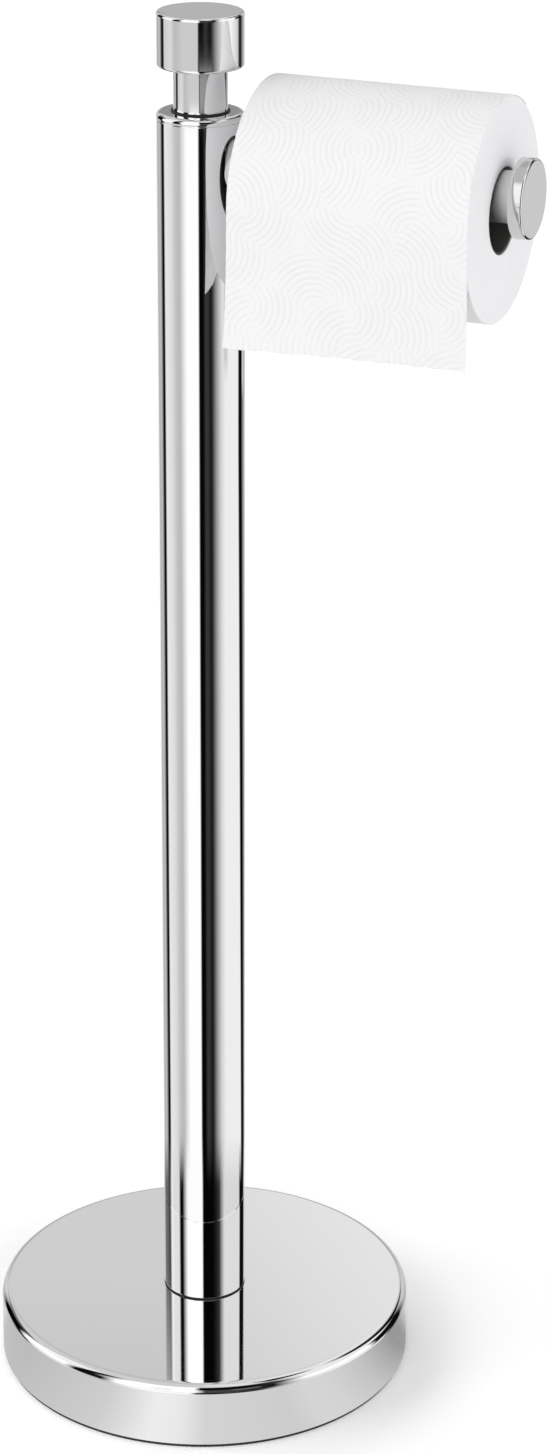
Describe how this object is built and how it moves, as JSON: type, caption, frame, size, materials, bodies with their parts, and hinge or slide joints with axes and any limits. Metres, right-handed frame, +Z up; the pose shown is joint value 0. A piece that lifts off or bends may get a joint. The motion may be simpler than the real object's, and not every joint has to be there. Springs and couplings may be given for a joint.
{
  "type": "freestanding toilet paper holder",
  "caption": "Chrome floor stand with a weighted round base, plain column, knob finial and side arm carrying a loaded paper roll.",
  "frame": {"origin": "centre of the face that rests on the floor, on the axis of the column", "axes": "+Z up along the column, +X along the arm from the column towards its end cap, the paper hangs on the -Y side"},
  "size_m": [0.2586, 0.203, 0.6747],
  "materials": {
    "polished_chrome": "polished chrome plating",
    "cast_iron": "painted casting",
    "zinc_steel": "bright zinc plate",
    "black_rubber": "matt black rubber",
    "cardboard": "plain wound cardboard",
    "tissue_paper": "embossed two-ply tissue"
  },
  "bodies": {
    "stand": {"base_cover": "polished_chrome", "base_weight": "cast_iron", "foot_pad": "black_rubber", "base_bolt": "zinc_steel", "base_lock_washer": "zinc_steel", "base_washer": "zinc_steel", "column_gasket": "black_rubber", "column_foot_plug": "zinc_steel", "column_tube": "polished_chrome", "arm_anchor_block": "zinc_steel", "column_top_cap": "polished_chrome", "finial_stud": "zinc_steel", "finial_washer": "black_rubber", "finial_neck": "polished_chrome", "finial_knob": "polished_chrome", "arm_tube": "polished_chrome", "arm_root_plug": "zinc_steel", "arm_stud": "zinc_steel", "arm_end_plug": "zinc_steel", "arm_cap_stud": "zinc_steel", "arm_end_cap": "polished_chrome"},
    "loose_end": {"hanging_sheet": "tissue_paper"},
    "roll": {"roll_core": "cardboard", "roll_paper": "tissue_paper"}
  },
  "joints": [
    {"name": "roll_slide", "type": "slide", "parent": "stand", "child": "loose_end", "axis": [1, 0, 0], "range_m": [-0.0129, 0.0069]},
    {"name": "roll_spin", "type": "hinge", "parent": "loose_end", "child": "roll", "pos_m": [0.0882, 0, 0.59855], "axis": [1, 0, 0], "continuous": true}
  ]
}
